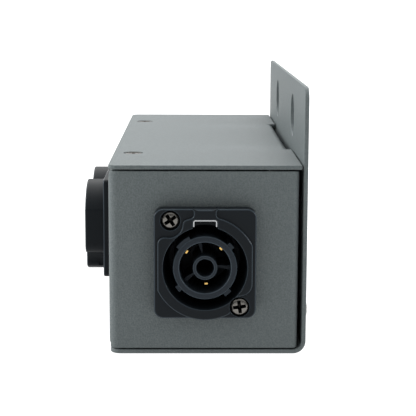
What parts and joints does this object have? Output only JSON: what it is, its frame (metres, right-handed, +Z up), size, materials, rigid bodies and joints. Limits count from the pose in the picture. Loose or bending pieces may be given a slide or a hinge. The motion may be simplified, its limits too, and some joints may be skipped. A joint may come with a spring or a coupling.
{
  "type": "power distribution box",
  "caption": "Grey sheet-steel mains splitter box with a rear mounting flange, a round locking inlet on one end and locking outlets on the front.",
  "frame": {"origin": "centre of the underside, at the middle of the cover's depth and of the case's length", "axes": "+X along the length towards the inlet end, +Y towards the mounting flange, +Z up"},
  "size_m": [0.1606, 0.0674, 0.0743],
  "materials": {
    "grey_powder_coat": "fine-textured grey powder coat on sheet steel",
    "black_nylon": "moulded black glass-filled nylon, satin",
    "nickel_plated_steel": "nickel plating",
    "spring_steel": "bright rolled strip",
    "brass": "bright brass",
    "wire_line_insulation": "brown PVC insulation",
    "wire_neutral_insulation": "blue PVC insulation",
    "wire_earth_insulation": "green and yellow PVC insulation"
  },
  "bodies": {
    "case": {"base_bracket": "grey_powder_coat", "body_panel": "grey_powder_coat", "cover_nut_1": "nickel_plated_steel", "cover_nut_2": "nickel_plated_steel", "bottom_screw_1": "nickel_plated_steel", "bottom_nut_1": "nickel_plated_steel", "bottom_screw_2": "nickel_plated_steel", "bottom_nut_2": "nickel_plated_steel", "rear_screw_1": "nickel_plated_steel", "rear_nut_1": "nickel_plated_steel", "rear_screw_2": "nickel_plated_steel", "rear_nut_2": "nickel_plated_steel", "inlet_housing": "black_nylon", "inlet_core": "black_nylon", "inlet_latch_plate": "spring_steel", "inlet_ring": "black_nylon", "inlet_contact_line": "brass", "inlet_contact_neutral": "brass", "inlet_contact_earth": "brass", "inlet_screw_1": "nickel_plated_steel", "inlet_bush_1": "nickel_plated_steel", "inlet_screw_2": "nickel_plated_steel", "inlet_bush_2": "nickel_plated_steel", "outlet_a_housing": "black_nylon", "outlet_a_core": "black_nylon", "outlet_a_latch_plate": "spring_steel", "outlet_a_contact_line": "brass", "outlet_a_contact_neutral": "brass", "outlet_a_contact_earth": "brass", "outlet_a_screw_1": "nickel_plated_steel", "outlet_a_bush_1": "nickel_plated_steel", "outlet_a_screw_2": "nickel_plated_steel", "outlet_a_bush_2": "nickel_plated_steel", "outlet_b_housing": "black_nylon", "outlet_b_core": "black_nylon", "outlet_b_latch_plate": "spring_steel", "outlet_b_contact_line": "brass", "outlet_b_contact_neutral": "brass", "outlet_b_contact_earth": "brass", "outlet_b_screw_1": "nickel_plated_steel", "outlet_b_bush_1": "nickel_plated_steel", "outlet_b_screw_2": "nickel_plated_steel", "outlet_b_bush_2": "nickel_plated_steel", "wire_line": "wire_line_insulation", "wire_neutral": "wire_neutral_insulation", "wire_earth": "wire_earth_insulation", "earth_bond_wire": "wire_earth_insulation", "earth_stud": "nickel_plated_steel", "earth_nut": "nickel_plated_steel"},
    "cover": {"top_cover": "grey_powder_coat", "cover_screw_1": "nickel_plated_steel", "cover_screw_2": "nickel_plated_steel"}
  },
  "joints": [
    {"name": "cover_lift", "type": "slide", "parent": "case", "child": "cover", "axis": [0, 0, 1], "range_m": [0, 0.04]}
  ]
}
